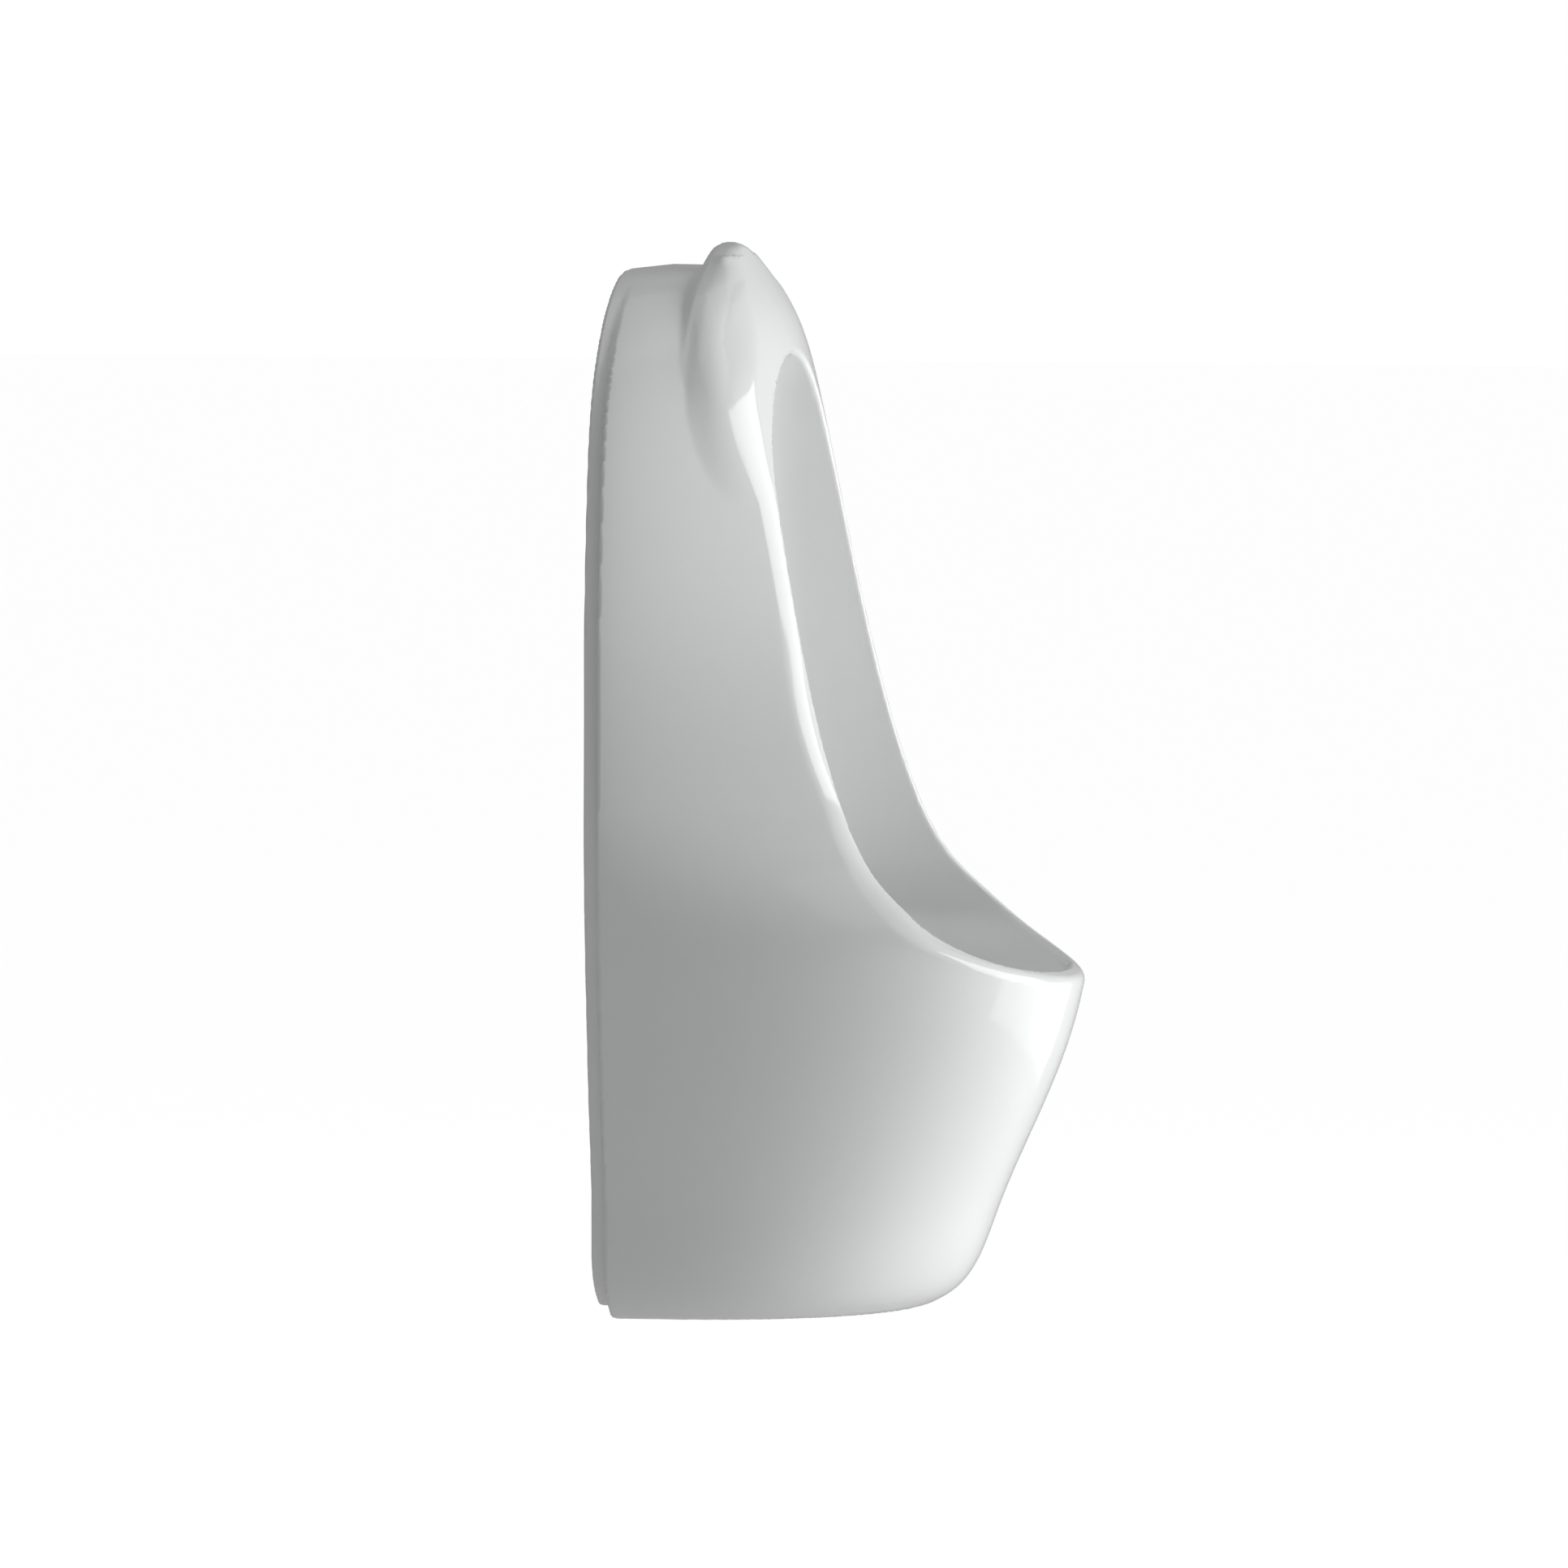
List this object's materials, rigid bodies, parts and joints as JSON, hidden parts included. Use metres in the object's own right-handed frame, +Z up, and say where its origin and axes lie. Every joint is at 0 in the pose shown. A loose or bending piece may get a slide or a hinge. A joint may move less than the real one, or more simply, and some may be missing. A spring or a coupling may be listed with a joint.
{
  "type": "wall hung urinal",
  "caption": "Wall hung urinal in white glazed ware with a raised hood, a stepped back edge and a protruding lip, with its waste, bottle trap, spreader and hanger brackets.",
  "frame": {"origin": "on the wall face, at the centre of the four hanger screws", "axes": "+Z up, +Y into the wall, -Y towards the user, +X to the right of someone who faces the wall"},
  "size_m": [0.3506, 0.3071, 0.688],
  "materials": {
    "glazed_china": "glossy white glaze",
    "zinc_steel": "zinc plated",
    "grey_plastic": "moulded",
    "black_rubber": "moulded",
    "chromed_brass": "polished",
    "plain_brass": "machined",
    "stainless": "pressed, polished",
    "white_plastic": "moulded"
  },
  "bodies": {
    "ware": {"glazed_body": "glazed_china", "hanger_bracket_right": "zinc_steel", "hanger_bracket_left": "zinc_steel", "hanger_saddle_right": "grey_plastic", "hanger_saddle_left": "grey_plastic", "waste_top_gasket": "black_rubber", "waste_flange": "chromed_brass", "waste_under_gasket": "black_rubber", "waste_slip_washer": "white_plastic", "waste_backnut": "plain_brass", "trap_joint_washer": "black_rubber", "trap_dip_tube": "white_plastic", "trap_body": "white_plastic", "trap_inlet_seal": "black_rubber", "trap_inlet_nut": "white_plastic", "trap_outlet_seal": "black_rubber", "trap_outlet_nut": "white_plastic", "outlet_pipe": "white_plastic", "outlet_socket_seal": "black_rubber", "inlet_front_washer": "black_rubber", "inlet_back_washer": "black_rubber", "inlet_backnut": "plain_brass", "flush_spreader": "chromed_brass"},
    "grid": {"waste_grid": "stainless"},
    "cup": {"trap_cup": "white_plastic", "trap_cup_seal": "black_rubber"}
  },
  "joints": [
    {"name": "grid_lift", "type": "slide", "parent": "ware", "child": "grid", "axis": [0, 0, 1], "range_m": [0, 0.06]},
    {"name": "cup_removal", "type": "slide", "parent": "ware", "child": "cup", "axis": [0, 0, -1], "range_m": [0, 0.05]}
  ]
}
